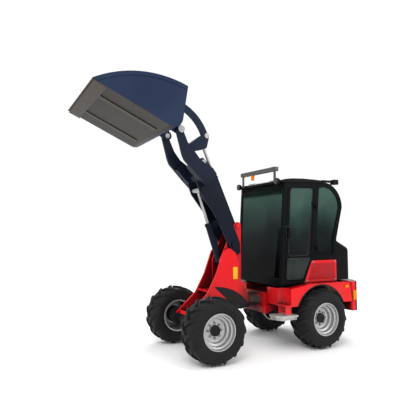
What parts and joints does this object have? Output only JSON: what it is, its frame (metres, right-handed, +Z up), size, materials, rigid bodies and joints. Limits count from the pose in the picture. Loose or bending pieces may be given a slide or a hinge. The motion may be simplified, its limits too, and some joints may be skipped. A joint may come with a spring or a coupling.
{
  "type": "compact wheel loader",
  "caption": "Compact articulated wheel loader with a raised Z-bar boom, a general purpose bucket, a glazed cab, a hinged hood and deep-dish wheels, for digging and carrying.",
  "frame": {"origin": "on the ground under the middle of the whole machine with its bucket raised", "axes": "+X forward towards the bucket, +Y to the driver's left, +Z up"},
  "size_m": [3.7928, 1.405, 3.2069],
  "materials": {
    "red_paint": "gloss",
    "black_paint": "satin",
    "navy_black_paint": "satin",
    "pin_steel": "satin",
    "engine_grey": "matte",
    "cast_black": "satin",
    "step_aluminium": "satin",
    "amber_lens": "gloss",
    "hood_black": "gloss",
    "green_glass": "clear",
    "roof_plastic": "satin",
    "bar_grey": "satin",
    "lamp_housing": "gloss",
    "seat_cover": "matte",
    "cab_plastic": "matte",
    "rod_chrome": "polished",
    "worn_steel": "worn",
    "axle_black": "matte",
    "tyre": "matte",
    "rim_silver": "satin"
  },
  "bodies": {
    "rear_body": {"rear_frame": "red_paint", "articulation_pin": "pin_steel", "rear_axle": "axle_black", "engine_block": "engine_grey", "counterweight": "cast_black", "rear_fenders": "red_paint", "steps": "step_aluminium", "tail_lamps": "amber_lens", "side_markers": "amber_lens", "cab_floor": "black_paint", "cab_side_left": "black_paint", "cab_side_right": "black_paint", "quarter_glass": "green_glass", "cab_front": "black_paint", "windshield": "green_glass", "cab_back": "black_paint", "rear_glass": "green_glass", "roof": "roof_plastic", "light_bar": "bar_grey", "beacon": "amber_lens", "work_lamps": "lamp_housing", "side_grilles": "red_paint", "seat": "seat_cover", "steering_column": "cab_plastic"},
    "front_body": {"front_frame": "red_paint", "loader_tower": "red_paint", "front_axle": "axle_black", "boom_pin": "pin_steel"},
    "boom": {"boom": "navy_black_paint", "lever_pins": "pin_steel", "hitch_pins": "pin_steel"},
    "lift_barrel": {"lift_barrel": "navy_black_paint"},
    "lift_rod": {"lift_rod": "rod_chrome"},
    "tilt_base_pin": {"tilt_base_pin": "pin_steel"},
    "tilt_barrel": {"tilt_barrel": "navy_black_paint"},
    "tilt_rod": {"tilt_rod": "rod_chrome"},
    "tilt_sleeve": {"tilt_sleeve": "navy_black_paint"},
    "tilt_lever": {"tilt_lever": "navy_black_paint", "link_pin": "pin_steel"},
    "tilt_link": {"tilt_link": "navy_black_paint"},
    "bucket": {"hitch": "navy_black_paint", "hitch_link_pin": "pin_steel", "bucket": "navy_black_paint", "cutting_edge": "worn_steel"},
    "door_left": {"door_left": "black_paint", "door_glass_left": "green_glass"},
    "door_right": {"door_right": "black_paint", "door_glass_right": "green_glass"},
    "hood": {"hood": "hood_black"},
    "wheel_front_left": {"tyre_front_left": "tyre", "rim_front_left": "rim_silver"},
    "wheel_front_right": {"tyre_front_right": "tyre", "rim_front_right": "rim_silver"},
    "wheel_rear_left": {"tyre_rear_left": "tyre", "rim_rear_left": "rim_silver"},
    "wheel_rear_right": {"tyre_rear_right": "tyre", "rim_rear_right": "rim_silver"}
  },
  "joints": [
    {"name": "articulation", "type": "hinge", "parent": "rear_body", "child": "front_body", "pos_m": [-0.34644, 0, 0.58], "axis": [0, 0, 1], "range_deg": [-40, 40]},
    {"name": "boom_lift", "type": "hinge", "parent": "front_body", "child": "boom", "pos_m": [-0.10944, 0, 1.33], "axis": [0, -1, 0], "range_deg": [-68, 0]},
    {"name": "bucket_tilt", "type": "hinge", "parent": "boom", "child": "bucket", "pos_m": [0.70856, 0, 2.74], "axis": [0, 1, 0], "range_deg": [-30, 66]},
    {"name": "lever_turn", "type": "hinge", "parent": "boom", "child": "tilt_lever", "pos_m": [0.35356, 0, 2.37], "axis": [0, 1, 0], "range_deg": [-30, 66]},
    {"name": "link_turn", "type": "hinge", "parent": "tilt_lever", "child": "tilt_link", "pos_m": [0.25356, 0, 2.74], "axis": [0, 1, 0], "range_deg": [-66, 30]},
    {"name": "tilt_base_turn", "type": "hinge", "parent": "front_body", "child": "tilt_base_pin", "pos_m": [-0.17844, 0, 1.57], "axis": [0, -1, 0], "range_deg": [-72.5, 0]},
    {"name": "tilt_barrel_turn", "type": "hinge", "parent": "tilt_base_pin", "child": "tilt_barrel", "pos_m": [-0.17844, 0, 1.57], "axis": [0, 1, 0], "range_deg": [-5.5, 12]},
    {"name": "tilt_sleeve_slide", "type": "slide", "parent": "tilt_barrel", "child": "tilt_sleeve", "axis": [0.4067, 0, 0.9136], "range_m": [0, 0.247]},
    {"name": "tilt_rod_slide", "type": "slide", "parent": "tilt_sleeve", "child": "tilt_rod", "axis": [0.4067, 0, 0.9136], "range_m": [-0.0524, 0.1153]},
    {"name": "lift_barrel_turn", "type": "hinge", "parent": "front_body", "child": "lift_barrel", "pos_m": [0.03856, 0, 1.115], "axis": [0, -1, 0], "range_deg": [-67, 0]},
    {"name": "lift_rod_slide", "type": "slide", "parent": "lift_barrel", "child": "lift_rod", "axis": [0.3255, 0, 0.9455], "range_m": [-0.2921, 0]},
    {"name": "door_left_swing", "type": "hinge", "parent": "rear_body", "child": "door_left", "pos_m": [-1.16144, 0.513, 1.5], "axis": [0, 0, 1], "range_deg": [0, 80]},
    {"name": "door_right_swing", "type": "hinge", "parent": "rear_body", "child": "door_right", "pos_m": [-1.16144, -0.513, 1.5], "axis": [0, 0, -1], "range_deg": [0, 80]},
    {"name": "hood_lift", "type": "hinge", "parent": "rear_body", "child": "hood", "pos_m": [-1.54044, 0, 1.398], "axis": [0, 1, 0], "range_deg": [0, 60]},
    {"name": "wheel_front_left_spin", "type": "hinge", "parent": "front_body", "child": "wheel_front_left", "pos_m": [0.44156, 0.54, 0.38], "axis": [0, 1, 0], "continuous": true},
    {"name": "wheel_front_right_spin", "type": "hinge", "parent": "front_body", "child": "wheel_front_right", "pos_m": [0.44156, -0.54, 0.38], "axis": [0, 1, 0], "continuous": true},
    {"name": "wheel_rear_left_spin", "type": "hinge", "parent": "rear_body", "child": "wheel_rear_left", "pos_m": [-1.13444, 0.54, 0.38], "axis": [0, 1, 0], "continuous": true},
    {"name": "wheel_rear_right_spin", "type": "hinge", "parent": "rear_body", "child": "wheel_rear_right", "pos_m": [-1.13444, -0.54, 0.38], "axis": [0, 1, 0], "continuous": true}
  ],
  "couplings": [
    {"joint": "tilt_base_turn", "follows": "boom_lift", "ratio": 1.065},
    {"joint": "tilt_sleeve_slide", "follows": "boom_lift", "m_per_rad": -0.208},
    {"joint": "lift_barrel_turn", "follows": "boom_lift", "ratio": 0.984},
    {"joint": "lift_rod_slide", "follows": "boom_lift", "m_per_rad": 0.246},
    {"joint": "lever_turn", "follows": "bucket_tilt", "ratio": 1},
    {"joint": "link_turn", "follows": "bucket_tilt", "ratio": -1},
    {"joint": "tilt_barrel_turn", "follows": "bucket_tilt", "ratio": 0.181},
    {"joint": "tilt_rod_slide", "follows": "bucket_tilt", "m_per_rad": 0.1}
  ]
}
